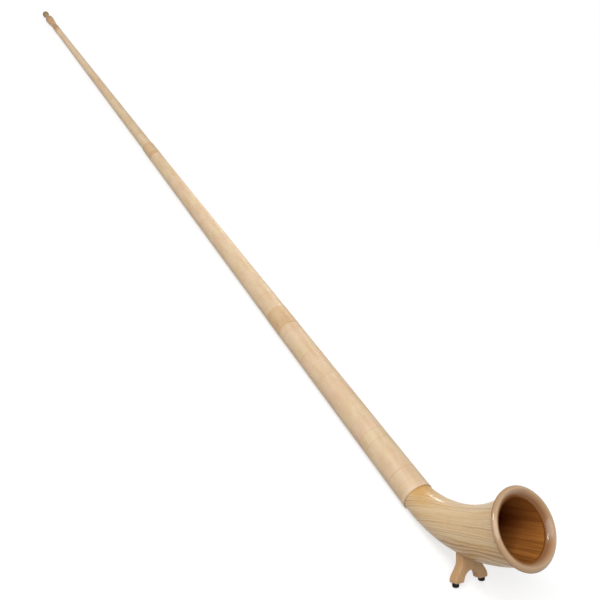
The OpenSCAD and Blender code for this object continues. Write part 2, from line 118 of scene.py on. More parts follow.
def bell_r(s):
    """The bell's outer radius: the tube's under the winding, then up to BELL_R by a power."""
    grown = BELL_R0 + (BELL_R - BELL_R0) * (np.maximum(s, 0) / BELL_LEN) ** FLARE
    return np.where(np.less(s, 0), cane_r("lower", -np.asarray(s)) - CANE_THICK, grown)


def bell_bore(s):
    """The bell's inner radius: the wall grows evenly from the tube's to that of the mouth."""
    return bell_r(s) - TUBE_WALL - (MOUTH_WALL - TUBE_WALL) * np.maximum(s, 0) / BELL_LEN


# Camera and light

def standing(axes, place):
    """The matrix of a thing at a place, with its X, Y and Z along the three axes."""
    return Matrix([[*row, p] for row, p in zip(np.stack(axes, 1), place)] + [[0, 0, 0, 1]])


scene = bpy.context.scene
scene.view_settings.view_transform = "Standard"

# The picture's right and up, and the way back to the camera
RIGHT = np.array([0.470367, 0.821538, 0.322226])
UP = np.array([-0.589345, 0.020660, 0.807617])
BACK = np.cross(RIGHT, UP)
camera = bpy.data.objects.new("camera", bpy.data.cameras.new("camera"))
camera.data.lens = 56.8306
camera.data.sensor_width = 36
camera.data.clip_end = 200
camera.matrix_world = standing([RIGHT, UP, BACK], (2.457676, -1.542624, 1.477642))
scene.collection.objects.link(camera)
scene.camera = camera

BELL_SPOT = laid([200, 0, 120])


def aimed(light, way, far):
    """A lamp that looks at the bell from so many metres off, on a way to the right, up and back."""
    lamp = bpy.data.objects.new(light.name, light)
    place = BELL_SPOT + far * (way @ np.stack([RIGHT, UP, BACK]))
    back = (place - BELL_SPOT) / np.linalg.norm(place - BELL_SPOT)
    side = np.cross(UP, back)
    side /= np.linalg.norm(side)
    lamp.matrix_world = standing([side, np.cross(back, side), back], place)
    scene.collection.objects.link(lamp)
    return lamp


# One broad soft light from the upper front, and two strips that draw the long reflections
sun = bpy.data.lights.new("broad_light", "SUN")
sun.energy = 1.72
sun.angle = np.radians(40)
aimed(sun, (-0.1, 0.45, 0.88), 4)
for name, way, wide, high, power in (("front_softbox", (-0.27, 0.72, 0.64), 0.12, 0.5, 7),
                                     ("rear_softbox", (-0.1, 0.77, -0.63), 0.2, 0.5, 5)):
    softbox = bpy.data.lights.new(name, "AREA")
    softbox.shape = "RECTANGLE"
    softbox.size, softbox.size_y = wide, high
    softbox.energy = power
    aimed(softbox, way, 1.9).visible_camera = False


# Materials

def srgb(text):
    """A colour written as an sRGB hex value, turned to linear RGBA."""
    c = np.array([int(text[i:i + 2], 16) / 255 for i in (1, 3, 5)])
    linear = np.where(c <= 0.04045, c / 12.92, ((c + 0.055) / 1.055) ** 2.4)
    return (*linear.tolist(), 1)


def add(tree, kind, inputs=(), **settings):
    """Adds a node, with its settings and its inputs in order or by name.

    An input is a value, a socket, or a node, of which it takes the first output.
    """
    made = tree.nodes.new("ShaderNode" + kind)
    for key, value in settings.items():
        setattr(made, key, value)
    for key, value in inputs.items() if isinstance(inputs, dict) else enumerate(inputs):
        if isinstance(value, bpy.types.Node):
            value = value.outputs[0]
        if isinstance(value, bpy.types.NodeSocket):
            tree.links.new(value, made.inputs[key])
        else:
            made.inputs[key].default_value = value
    return made


def emptied(name):
    """A new material, and its node tree with nothing in it."""
    made = bpy.data.materials.new(name)
    made.use_nodes = True
    made.node_tree.nodes.clear()
    return made, made.node_tree


def finished(tree, base, layers, roughness, height, depth, **more):
    """Closes a tree: layers over a base colour, a bump, and the shader.

    A layer is an amount and a colour. The bump is depth metres deep, times 0.6. more holds the
    shader's other inputs, with _ for the spaces in their names.
    """
    colour = srgb(base)
    for amount, tint in layers:
        mix = add(tree, "Mix", {0: amount, 6: colour, 7: srgb(tint)}, data_type="RGBA")
        colour = mix.outputs[2]
    bump = add(tree, "Bump", {"Strength": 0.6, "Distance": depth, "Height": height})
    inputs = {"Base Color": colour, "Roughness": roughness, "Normal": bump}
    inputs.update({key.replace("_", " "): value for key, value in more.items()})
    add(tree, "OutputMaterial", [add(tree, "BsdfPrincipled", inputs)])


def varnished_cane(name, straw, pink, dark):
    """Split rattan, peel side out, wound side by side and varnished.

    The attribute "cane" holds each strip's own tone, the marks where one length ends and the next
    begins, and the groove between turns, which painted shade darkens. Darker patches are 20 mm
    round the tube and 60 mm along it, and the fibres' grain is 1 mm.
    """
    made, tree = emptied(name)
    own = add(tree, "SeparateColor", [add(tree, "Attribute", attribute_name="cane")])
    tone, mark, groove = own.outputs
    place = add(tree, "TexCoord").outputs["Object"]
    stretched = add(tree, "VectorMath", [place, (0.35, 1, 1)], operation="MULTIPLY")
    mottle = add(tree, "TexNoise", {"Vector": stretched, "Scale": 48.0, "Detail": 4.0})
    fibre = add(tree, "TexNoise", {"Vector": place, "Scale": 900.0, "Detail": 2.0})
    patch = add(tree, "Math", [mottle, 1.5, -0.6], operation="MULTIPLY_ADD", use_clamp=True)
    end = add(tree, "Math", [mark, 0.75], operation="MULTIPLY")
    # Painted shade: the groove between turns darkened to #9c6f43
    shade = add(tree, "Math", [groove, 0.5], operation="MULTIPLY")
    finished(tree, straw, [(tone, pink), (patch, dark), (end, dark), (shade, "#9c6f43")], 0.45,
             fibre, 0.0001, IOR=1.5, Specular_IOR_Level=0.3, Coat_Weight=0.12, Coat_Roughness=0.25)
    return made


def spruce(name, early, late, knotty_and_shade, spacing, gloss, coat):
    """Spruce carved to shape and varnished.

    The attribute "grain" holds how far a point lies through the growth rings, along the trunk and
    across it, in millimetres. Rings are spacing apart: wide pale early wood that darkens to a thin
    line of late wood, stronger in some years and on the outer side of the root's bend, where the
    rings are wider and the wood is browner too. Fibres are 1 mm by about 40 mm. A darkening
    attribute says where the wood is darkened to the third colour: painted shade in the bore and on
    the outside under the winding's edge. A fine line of glue marks the seam.
    """
    made, tree = emptied(name)
    own = add(tree, "Attribute", attribute_name="grain").outputs["Vector"]
    depth, _, across = add(tree, "SeparateXYZ", [own]).outputs
    noises = []
    for stretch, detail in (((0.03, 0.006, 0.02), 2), ((0.11, 0.003, 0.02), 2),
                            ((1.1, 0.025, 0.7), 3)):
        place = add(tree, "VectorMath", [own, stretch], operation="MULTIPLY")
        noises.append(add(tree, "TexNoise", {"Vector": place, "Scale": 1.0, "Detail": detail}))
    wave, zone, fibre = noises

    # The outer side of the bend starts where depth falls below 6 mm
    below = add(tree, "Math", [depth, 6.0], operation="SUBTRACT")
    below = add(tree, "Math", [below, 0.0], operation="MINIMUM")
    outer = add(tree, "Math", [below, -0.06], operation="MULTIPLY", use_clamp=True)
    ring = add(tree, "Math", [below, -0.42, depth], operation="MULTIPLY_ADD")
    ring = add(tree, "Math", [ring, spacing], operation="DIVIDE")
    shift = add(tree, "Math", [wave, 2.2, -1.1], operation="MULTIPLY_ADD")
    ring = add(tree, "Math", [ring, shift], operation="ADD")

    # Within a ring: pale to 0.35 of its width, darkening to 0.82, and back to pale at its end
    line = add(tree, "ValToRGB", [add(tree, "Math", [ring], operation="FRACT")])
    for at, level in ((0.35, 0.08), (0.66, 0.6), (0.82, 1.0)):
        line.color_ramp.elements.new(at).color = (level, level, level, 1)
    line.color_ramp.elements[-1].color = (0, 0, 0, 1)
    year = add(tree, "TexWhiteNoise", {"W": add(tree, "Math", [ring], operation="FLOOR")},
               noise_dimensions="1D")
    strong = add(tree, "Math", [year, 3.0], operation="POWER")
    strong = add(tree, "Math", [strong, 0.6, 0.12], operation="MULTIPLY_ADD")
    strong = add(tree, "Math", [outer, 0.75, strong], operation="MULTIPLY_ADD")
    late_wood = add(tree, "Math", [line, strong], operation="MULTIPLY", use_clamp=True)

    dusk = add(tree, "Math", [zone, 1.3, -0.546], operation="MULTIPLY_ADD", use_clamp=True)
    browner = add(tree, "Math", [outer, 0.4], operation="MULTIPLY")
    stain = add(tree, "Attribute", attribute_name="stain").outputs["Fac"]
    streak = add(tree, "Math", [fibre, 1.2, -0.576], operation="MULTIPLY_ADD", use_clamp=True)
    seam = add(tree, "Math", [across], operation="ABSOLUTE")
    seam = add(tree, "Math", [seam, 0.2], operation="LESS_THAN")
    seam = add(tree, "Math", [seam, 0.4], operation="MULTIPLY")
    finished(tree, early, [(dusk, knotty_and_shade), (browner, knotty_and_shade), (late_wood, late), (stain, knotty_and_shade),
                           (streak, late), (seam, late)], gloss, fibre, 0.00004, IOR=1.5,
             Specular_IOR_Level=0.2, Coat_Weight=coat, Coat_Roughness=0.14)
    return made


def close_wood(name, pale, deep, fleck, stretch, stained, gloss, coat):
    """Beech, maple or plain spruce, turned or sawn, sanded and satin varnished.

    Even colour with soft growth bands and short darker flecks along the grain, under 1 mm wide
    and 2 to 3 mm long, or longer in spruce. stretch is how each axis is scaled, small along the
    grain. A darkening attribute says where the wood is darkened to the colour given after stretch:
    painted shade on the rim's throat, groove, edge and back, and darker bands on the mouth end.
    """
    made, tree = emptied(name)
    place = add(tree, "TexCoord").outputs["Object"]
    along = add(tree, "VectorMath", [place, stretch], operation="MULTIPLY")
    band = add(tree, "TexNoise", {"Vector": along, "Scale": 70.0, "Detail": 3.0})
    cells = add(tree, "TexVoronoi", {"Vector": along, "Scale": 620.0})
    flecks = add(tree, "Math", [cells, 0.24], operation="LESS_THAN")
    flecks = add(tree, "Math", [flecks, 0.35], operation="MULTIPLY")
    stain = add(tree, "Attribute", attribute_name="stain").outputs["Fac"]
    finished(tree, pale, [(band, deep), (flecks, fleck), (stain, stained)], gloss, band, 0.0001,
             IOR=1.5, Specular_IOR_Level=0.3, Coat_Weight=coat, Coat_Roughness=0.1)
    return made


def turned_metal(name, bright, dull, roughness):
    """Metal turned on a lathe: fine lines round it, drawn 0.5 mm apart so that they show."""
    made, tree = emptied(name)
    place = add(tree, "TexCoord").outputs["Object"]
    along = add(tree, "VectorMath", [place, (2000, 60, 60)], operation="MULTIPLY")
    lines = add(tree, "TexNoise", {"Vector": along, "Scale": 1.0, "Detail": 2.0})
    faint = add(tree, "Math", [lines, 0.3], operation="MULTIPLY")
    finished(tree, bright, [(faint, dull)], roughness, lines, 0.00004, Metallic=1.0)
    return made


def moulded_rubber(name):
    """Black rubber, moulded: matt, with a fine even grain."""
    made, tree = emptied(name)
    place = add(tree, "TexCoord").outputs["Object"]
    grain = add(tree, "TexNoise", {"Vector": place, "Scale": 1500.0, "Detail": 2.0})
    finished(tree, "#060606", [(grain, "#151414")], 0.6, grain, 0.0001, IOR=1.52,
             Specular_IOR_Level=0.15)
    return made


def zinc_steel(name):
    """Zinc-plated steel: bright, with a slightly uneven dull bloom."""
    made, tree = emptied(name)
    place = add(tree, "TexCoord").outputs["Object"]
    bloom = add(tree, "TexNoise", {"Vector": place, "Scale": 400.0, "Detail": 3.0})
    roughness = add(tree, "Math", [bloom, 0.3, 0.5], operation="MULTIPLY_ADD")
    finished(tree, "#b9bcbe", [(bloom, "#8f9294")], roughness, bloom, 0.00003, Metallic=1.0)
    return made


cane = varnished_cane("varnished_split_rattan", "#dfcaa4", "#e0c4a6", "#c9a176")
brown_cane = varnished_cane("varnished_brown_rattan", "#d8bc92", "#d4ae84", "#ba9064")
end_cane = varnished_cane("pale_end_rattan", "#e8d4b6", "#e4caaa", "#cfa884")
bell_spruce = spruce("varnished_spruce", "#dcc096", "#8e5e26", "#c99b56", 6.0, 0.45, 0.3)
# The bore's spruce is darker and redder than the bell's outside: painted shade and painted
# inter-reflection inside the bell
bore_spruce = spruce("lacquered_spruce_bore_painted_shade", "#c8843f", "#6e3a12", "#4e1803", 6.2, 0.35, 0.4)
tube_spruce = close_wood("oiled_tube_spruce", "#cfa268", "#b98a52", "#a9753f", (0.06, 1, 1),
                         "#a9753f", 0.5, 0.0)
# 7e4a10 is the painted shade of the rim's throat, groove, edge and back
rim_beech = close_wood("turned_beech", "#bf9f7c", "#b08c66", "#94704a", (1, 0.35, 1),
                       "#7e4a10", 0.35, 0.4)
foot_beech = close_wood("sawn_beech", "#c8a276", "#ae8458", "#946c46", (1, 1, 0.3),
                        "#946c46", 0.42, 0.1)
pale_maple = close_wood("oiled_maple", "#d2ab80", "#bf976b", "#957046", (0.3, 1, 1),
                        "#957046", 0.4, 0.2)
brown_maple = close_wood("oiled_brown_maple", "#cba272", "#b68b58", "#8a6136", (0.3, 1, 1),
                         "#84602f", 0.38, 0.2)
olive_maple = close_wood("oiled_olive_maple", "#a98c5c", "#917648", "#6c5030", (0.3, 1, 1),
                         "#5a4426", 0.38, 0.2)
brass = turned_metal("turned_brass", "#d3ae66", "#8a6a34", 0.28)
rubber = moulded_rubber("moulded_black_rubber")
steel = zinc_steel("zinc_plated_steel")


# Making pieces

def grey(levels, cols):
    """Greys for the points of a lathe with cols columns, the same right round: a level a row."""
    greys = np.repeat(np.asarray(levels, float), cols)[:, None]
    return np.concatenate([greys, greys, greys, np.ones_like(greys)], 1)


def quads(rows, cols, close_rows=False):
    """Faces of a grid of rows by cols points numbered row by row.

    The last column joins the first one, and with close_rows the last row joins the first row.
    """
    i, j = np.meshgrid(np.arange(rows if close_rows else rows - 1), np.arange(cols), indexing="ij")
    a, b = i * cols, (i + 1) % rows * cols
    k = (j + 1) % cols
    return np.stack([a + j, a + k, b + k, b + j], -1).reshape(-1, 4)


def piece(name, points, faces, body, slot, materials, stands_for, sharp, inner=None,
          **attributes):
    """A closed surface as an object: merged, turned outwards, smooth but for edges over sharp.

    points are in the horn frame. stands_for is the solid that the piece replaces. inner marks the
    faces that take the second material, and attributes are names, each with a colour or a vector
    at every point.
    """
    mesh = bpy.data.meshes.new(name)
    corners = faces if isinstance(faces, list) else faces.tolist()
    mesh.from_pydata(laid(points).reshape(-1, 3).tolist(), [], corners)
    for material in materials:
        mesh.materials.append(material)
    if inner is not None:
        mesh.polygons.foreach_set("material_index", np.asarray(inner, np.int32))
    for called, values in attributes.items():
        vector = values.shape[-1] == 3
        layer = mesh.attributes.new(called, "FLOAT_VECTOR" if vector else "FLOAT_COLOR", "POINT")
        layer.data.foreach_set("vector" if vector else "color",
                               np.asarray(values, np.float32).ravel())
    whole = bmesh.new()
    whole.from_mesh(mesh)
    bmesh.ops.remove_doubles(whole, verts=whole.verts, dist=2e-7)
    bmesh.ops.recalc_face_normals(whole, faces=whole.faces)
    whole.to_mesh(mesh)
    whole.free()
    mesh.polygons.foreach_set("use_smooth", np.ones(len(mesh.polygons), bool))
    mesh.set_sharp_from_angle(angle=np.radians(sharp))
    made = bpy.data.objects.new(name, mesh)
    scene.collection.objects.link(made)
    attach(made, body)
    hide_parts(stands_for)


def lathe(profile, start, direction, sides=128):
    """Points and faces of a closed profile [radius, distance] turned about an axis.

    The axis leaves start along direction. A point is start + distance along the axis + radius
    times the turning unit vector.
    """
    profile = np.asarray(profile, float)
    d = np.asarray(direction, float) / np.linalg.norm(direction)
    side = np.array([0.0, 1, 0])
    third = np.cross(d, side)
    t = np.linspace(0, 2 * np.pi, sides, endpoint=False)
    ring = np.cos(t)[:, None] * side + np.sin(t)[:, None] * third
    points = start + profile[:, None, 1:] * d + profile[:, None, :1] * ring
    return points, quads(len(profile), sides, close_rows=True)


def arc(centre, radii, a0, a1, count, power=1):
    """Points on an ellipse about centre from angle a0 to a1, in degrees.

    A point is centre + radii * (cosine, sine). A power over 1 on both makes a quarter flatter.
    """
    t = np.radians(np.linspace(a0, a1, count))
    c, s = np.cos(t), np.sin(t)
    if power != 1:
        c, s = np.abs(c) ** power, np.abs(s) ** power
    return np.stack([centre[0] + radii[0] * c, centre[1] + radii[1] * s], 1)


def swell(first, last, way):
    """From one value to another by half a cosine wave, as way goes from 0 to 1."""
    return first + (last - first) * (1 - np.cos(np.pi * way)) / 2


# The winding

def cane_tones(section, u, turns, seed):
    """Tone and mark at each point of a winding, u up the tube and so many turns along the cane.

    A piece of cane is CANE_LENGTH long, more or less, so it fills a band of that length divided by
    the tube's circumference, in turns. Each band has its own tone, each turn a little of its own,
    and a band starts with a darker mark.
    """
    rng = np.random.default_rng(seed)
    u0, u1 = SECTIONS[section][:2]
    edges = [u0 - 1.0]
    while edges[-1] < u1:
        girth = 2 * np.pi * cane_r(section, edges[-1])
        edges.append(edges[-1] + rng.uniform(0.6, 1.3) * (CANE_LENGTH * STRIP) / girth)
    edges = np.array(edges)
    band = np.searchsorted(edges, u) - 1
    tones = rng.uniform(0, 1, len(edges) + 2)
    turn = np.floor(turns).astype(int) - int(np.floor(turns.min()))
    own = rng.uniform(-0.18, 0.18, turn.max() + 2)
    tone = np.clip(tones[band] * 0.8 + 0.1 + own[turn], 0, 1)
    strength = rng.uniform(0.2, 1, len(edges) + 2)
    mark = np.exp(-((u - edges[band]) / 1.8) ** 2) * strength[band]
    return tone, mark


def wound(stands_for, section, u0, u1, rise, strip, seed, material, slot, body):
    """Cane wound side by side from u0 to u1: a helical grid, so that its rows follow the strips.

    Row i is a line on a strip, four lines to a turn; at the angle t it lies at
    u0 + strip * (i / 4 - 1 + t / 360 degrees), held between u0 and u1. The radius is the taper's
    plus rise. It dips at every fourth line, between turns, and falls a little to a strip's edges.
    """
    sides, lines = 40, 4
    rows = int(np.ceil((u1 - u0) / strip + 2) * lines) + 1
    i, j = np.meshgrid(np.arange(rows), np.arange(sides), indexing="ij")
    t = 2 * np.pi * j / sides
    u = np.clip(u0 + strip * (i / lines - 1 + j / sides), u0, u1)
    turns = (u - u0) / strip - j / sides
    phase = turns % 1
    dip = np.clip(1 - 4 * np.minimum(phase, 1 - phase), 0, 1)
    crown = STRIP_CROWN * (2 * np.abs(phase - 0.5)) ** 2
    r = cane_r(section, u) + rise - STRIP_GROOVE * dip - crown
    points = np.stack([-u, r * np.cos(t), r * np.sin(t)], -1)

    # The last column joins the first one a turn further on. Faces that lie at one end drop out
    a = i[:-1] * sides + j[:-1]
    wraps = j[:-1] == sides - 1
    step = np.where(wraps, lines * sides - (sides - 1), 1)
    kept = ~(wraps & (i[:-1] + 1 + lines >= rows))
    faces = np.stack([a, a + step, a + step + sides, a + sides], -1)[kept]
    faces = faces[np.ptp(u.ravel()[faces], axis=1) > 1e-6]

    # A flat ring closes each end, and a sleeve joins the rings inside
    around = np.arange(sides)
    after = np.roll(around, -1)
    whole_turn = 2 * np.pi * around / sides
    sleeve, ends = [], []
    inner_rings = [rows * sides + around, (rows + 1) * sides + around]
    for ring, end_u, row in zip(inner_rings, (u0, u1), (0, rows - 1)):
        r_in = cane_r(section, end_u) - CANE_THICK + GLUE
        sleeve.append(np.stack([np.full(sides, -end_u), r_in * np.cos(whole_turn),
                                r_in * np.sin(whole_turn)], 1))
        edge = row * sides + around
        ends.append(np.stack([edge, edge[after], ring[after], ring], 1))
    first, second = inner_rings
    ends.append(np.stack([first, first[after], second[after], second], 1))

    tone, mark = cane_tones(section, u, turns, seed)
    colours = np.stack([tone, mark, dip, np.ones_like(tone)], -1).reshape(-1, 4)
    piece(stands_for + "_cane", np.concatenate([points.reshape(-1, 3), *sleeve]),
          np.concatenate([faces, *ends]), body, slot, [material], stands_for, 60,
          cane=np.concatenate([colours, np.tile([0.5, 0, 1, 1], (2 * sides, 1))]))


for section, body, seed in (("lower", "bell_section", 3), ("middle", "middle_section", 5),
                            ("upper", "upper_section", 8)):
    low, high = SECTIONS[section][:2]
    low += END_RING if section == "lower" else 0
    high -= 0 if section == "upper" else BINDING_LEN
    wound(section + "_winding", section, low, high, 0, STRIP, seed, cane, "rattan", body)
for binding, section, body, seed in (("lower_socket_binding", "lower", "bell_section", 11),
                                     ("upper_socket_binding", "middle", "middle_section", 13)):
    high = SECTIONS[section][1]
    wound(binding, section, high - BINDING_LEN, high, BINDING_RISE, STRIP, seed, brown_cane,
          "brown_rattan", body)
wound("winding_end_ring", "lower", 0, END_RING, END_RING_RISE, END_STRIP, 17, end_cane, "rattan",
      "bell_section")


# The bell and its rim

TRUNK = np.array([170, 0, 20])


def growth(points):
    """How far points lie through the growth rings, along the trunk and across it, in millimetres.

    The rings are a quadratic surface about TRUNK, with x, the distance y to the right and z in
    units of 100 mm: z - 0.824 x - 0.474 y and small terms that fan and bend them. Both halves are
    of one log, so the rings run on across the seam.
    """
    x, y, z = np.moveaxis((points - TRUNK) / 100, -1, 0)
    y = -y
    through = (z - 0.824 * x - 0.4739 * y - 0.0025 * x * x + 0.0697 * x * y - 0.0528 * y * y
               + 0.0867 * x * z - 0.0796 * z * z)
    return np.stack([100 * through, 77 * x + 64 * z, points[..., 1]], -1)


def bell_half(name, side):
    """Half a bell: at each station of the centre line a half circle outside and one inside.

    A point is the centre line's point + r * (cos t across the horn, sin t square to the line).
    """
    stations = np.concatenate([[-BELL_TAIL], np.linspace(0, BELL_WOOD, 150)])
    half = 61
    t = np.radians(np.linspace(-90, 90, half))
    t = np.concatenate([t, t[::-1]])
    outside = np.arange(2 * half) < half
    centre, a = bell_line(stations)
    r = np.where(outside, bell_r(stations)[:, None], bell_bore(stations)[:, None])
    a = a[:, None]
    points = centre[:, None] + np.stack([-np.sin(a) * r * np.sin(t), side * r * np.cos(t),
                                         np.cos(a) * r * np.sin(t)], -1)
    rows, cols = points.shape[:2]
    faces = quads(rows, cols)
    k = np.arange(half - 1)
    caps = [row * cols + np.stack([k, k + 1, cols - 2 - k, cols - 1 - k], 1)
            for row in (0, rows - 1)]
    j = np.arange(len(faces)) % cols
    inner = np.concatenate([(j >= half) & (j < cols - 1), np.zeros(2 * len(k), bool)])
    # Painted shade darkens the outside of the bell's upper side next to the winding, under its
    # edge.
    # The bore is darker with depth, and on its upper side: painted shade
    winding_edge_shade = np.clip(1.15 - stations / 75, 0, 0.9)[:, None] * np.clip(1.6 * np.sin(t) - 0.35, 0, 1)
    depth = np.clip(1.35 - 1.3 * stations / BELL_LEN, 0, 1)[:, None]
    depth = np.clip(depth + 0.5 * np.clip(np.sin(t) + 0.6, 0, 1), 0, 1)
    stain = np.where(outside, winding_edge_shade, depth)
    stain = np.stack([stain, stain, stain, np.ones_like(stain)], -1)
    piece(name + "_shell", points, np.concatenate([faces, *caps]), "bell_section",
          "varnished_spruce", [bell_spruce, bore_spruce], name, 50, inner,
          grain=growth(points), stain=stain.reshape(-1, 4))


def rim():
    """The turned rim: flat quarter ellipses turned about the bell's axis, and a scribed groove.

    The profile runs from the throat to the lip, round it to the widest place, over the groove and
    down the back. Painted shade darkens it towards the throat, at its widest, in the groove and at
    the bell.
    """
    lip_r = RIM_R - RIM_LIP
    shoulder_r = float(bell_r(BELL_WOOD)) + 1.5
    groove = RIM_WIDEST - 1.2
    soft = 1.6
    profile = np.concatenate([
        [[float(bell_bore(BELL_WOOD)), 0]],
        arc((lip_r, 4), (THROAT_R - lip_r, RIM_LEN - 4), 0, 90, 26, soft),
        arc((lip_r, RIM_WIDEST), (RIM_R - lip_r, RIM_LEN - RIM_WIDEST), 87, 0, 20, soft),
        [[RIM_R - 0.3, groove + 1], [RIM_R - 0.7, groove + 0.6], [RIM_R - 0.3, groove + 0.2],
         [RIM_R, groove]],
        arc((shoulder_r, groove), (RIM_R - shoulder_r, -groove), 8, 90, 18, soft)])
    r, z = profile.T
    # Painted shade: darker towards the throat, at the widest edge, in the groove and on the back
    throat = np.clip((lip_r - 1 - r) / 11, 0, 1)
    widest = np.clip((r - lip_r - 3) / 5, 0, 1)
    scribed = np.clip(1.6 - np.abs(z - groove - 0.6) / 0.7, 0, 1) * (r > RIM_R - 2)
    behind = np.clip(1 - z / groove, 0, 1) * (r > shoulder_r - 1)
    stain = np.clip(0.95 * throat + 0.35 * widest + 0.5 * scribed + 0.4 * behind, 0, 1)
    start, slope = bell_line(BELL_WOOD)
    points, faces = lathe(profile, start, (np.cos(slope), 0, np.sin(slope)), 192)
    piece("bell_rim_ring", points, faces, "bell_section", "beech", [rim_beech], "bell_rim", 35,
          stain=grey(stain, 192))


bell_half("bell_left", 1)
bell_half("bell_right", -1)
rim()


# The foot

FOOT_S = HEEL_LEN + BEND_R * (PLAY - HEEL)
ALONG = np.array([np.cos(PLAY), 0, np.sin(PLAY)])
HEIGHT = np.array([-np.sin(PLAY), 0, np.cos(PLAY)])
FOOT_R = float(bell_r(FOOT_S))
FOOT_FLOOR = bell_line(FOOT_S)[0] - (FOOT_R + FOOT_HIGH) * HEIGHT


def chain(points, count):
    """A polyline cut into count points, evenly along its length."""
    along = np.concatenate([[0], np.cumsum(np.linalg.norm(np.diff(points, axis=0), axis=1))])
    at = np.linspace(0, along[-1], count)
    return np.stack([np.interp(at, along, points[:, k]) for k in (0, 1)], 1)


def leg_outline(draw, lift, r, count):
    """Half a slice's outline, drawn in by a distance: the arch's side, then the outer side.

    Both run down from the middle to the sole's inner end: one along the arch, the other along the
    bell's underside of radius r about the height lift, the waist's cosine and the round paw.
    """
    sole = RUBBER_H
    arch = arc((0, sole), (ARCH_HALF + draw, ARCH_H + draw), 90, 0, 40)
    corner = arc((ARCH_HALF + ARCH_CORNER, sole + ARCH_CORNER),
                 (ARCH_CORNER - draw, ARCH_CORNER - draw), 180, 270, 8)
    paw_top = sole + PAW_CORNER
    paw = arc((PAW - PAW_CORNER, paw_top), (PAW_CORNER - draw, PAW_CORNER - draw), 0, -90, 12)
    z = np.linspace(FOOT_HIGH + 6, paw_top, 34)
    way = np.clip((z - paw_top) / (FOOT_HIGH - sole - paw_top), 0, 1)
    side = np.stack([swell(PAW, WAIST, way) - draw, z], 1)
    side = side[side[:, 1] < lift - np.sqrt(r * r - side[:, 0] ** 2)]
    y = np.linspace(0, side[0, 0], 16)
    under = np.stack([y, lift - np.sqrt(r * r - y ** 2)], 1)
    inner = np.concatenate([arch[arch[:, 1] > sole + ARCH_CORNER], corner])
    outer = np.concatenate([under, side[1:], paw[1:], corner[-1:]])
    return chain(inner, count), chain(outer, count)


def bracket():
    """The two-legged bracket: its outline carried through its thickness, with rounded edges.

    Slices near the two faces are drawn in by a quarter circle. The top of every slice follows the
    bell's round underside. The faces are strips between the arch's side and the outer side.
    """
    count = 44
    turn = np.radians(np.linspace(0, 90, 6))
    offsets = BRACKET_THICK / 2 - BRACKET_EDGE * (1 - np.sin(turn))
    draws = BRACKET_EDGE * (1 - np.cos(turn))
    slices = []
    for x, draw in zip([*-offsets[::-1], *offsets], [*draws[::-1], *draws]):
        r = float(bell_r(FOOT_S + x)) + 0.1
        lift = FOOT_R + FOOT_HIGH + x * x / (2 * BEND_R)
        inner, outer = leg_outline(draw, lift, r, count)
        # Round the slice: down the right arch side, up the right outer side, back on the left
        left = [-1, 1]
        loop = np.concatenate([inner, outer[-2::-1], outer[1:] * left, inner[-2:0:-1] * left])
        slices.append(FOOT_FLOOR + x * ALONG + loop[:, :1] * [0, 1, 0] + loop[:, 1:] * HEIGHT)
    points = np.array(slices)
    rows, cols = points.shape[:2]
    # Point k of the right arch side is number k, of the outer side 2 * count - 2 - k
    k = np.arange(count)
    top = 2 * count - 2
    caps = []
    for first, second in ((k, top - k), ((cols - k) % cols, top + k)):
        strip = np.stack([first[:-1], first[1:], second[1:], second[:-1]], 1)
        caps += [strip, strip + (rows - 1) * cols]
    faces = np.concatenate([quads(rows, cols), *caps]).tolist()
    # Both sides end in one point, so the last face of a strip is a triangle
    faces = [list(dict.fromkeys(face)) for face in faces]
    piece("foot_bracket_wood", points, faces, "bell_section", "beech", [foot_beech],
          "foot_bracket", 50)


def rubber_foot(name, side):
    """A rubber disc with a round lower edge, a hole for the screw and a seat for its head."""
    head_r = 0.85 * SCREW_D + 0.3
    profile = np.concatenate([
        [[SCREW_HOLE_R, SCREW_SEAT], [head_r, SCREW_SEAT], [head_r, 0.3], [head_r + 0.3, 0]],
        arc((RUBBER_R - RUBBER_EDGE, RUBBER_EDGE), (RUBBER_EDGE, RUBBER_EDGE), -90, 0, 12),
        [[RUBBER_R, RUBBER_H - 0.4], [RUBBER_R - 0.4, RUBBER_H], [SCREW_HOLE_R, RUBBER_H]]])
    points, faces = lathe(profile, FOOT_FLOOR + [0, side * FOOT_GAP, 0], HEIGHT, 48)
    piece(name + "_pad", points, faces, "bell_section", "black_rubber", [rubber], name, 35)


bracket()
rubber_foot("rubber_foot_left", 1)
rubber_foot("rubber_foot_right", -1)


# The mouth end

TUBE_UP = (-1, 0, 0)
WINDING_TOP = SECTIONS["upper"][1]
TENON_R = cane_r("upper", WINDING_TOP) - CANE_THICK + GLUE
# The receiver: its waist, its two beads, its bulb and open end, and its bore
WAIST_R, BEADS, BEAD_RISE, BEAD_HALF = 11.7, (9, 31), 1.2, 7
BULB_R, BULB_FROM, BULB_BACK, OPEN_R, BORE_R, TENON_HOLE = 16.5, 46, 14, 11.5, 4.3, 14
# The mouthpiece: its shank's tip and top, its neck, its cup and the holes through it
TIP_R, SHANK_R, NECK_R, CUP_R, CUP_LEN, LIP = 6, 7, 7.6, 13.5, 26, 5
BACKBORE_R, MOUTH_BORE_R, CUP_HOLLOW_R, CUP_HOLLOW = 3.5, 2.5, 6.5, 15


def turned_piece(node, profile, start, wood, body, stain):
    """A piece of the mouth end, darkened by a given amount at each point of its profile."""
    points, faces = lathe(profile, [-start, 0, 0], TUBE_UP)
    piece(node + "_turned", points, faces, body, "maple", [wood], node, 35,
          stain=grey(stain, points.shape[1]))


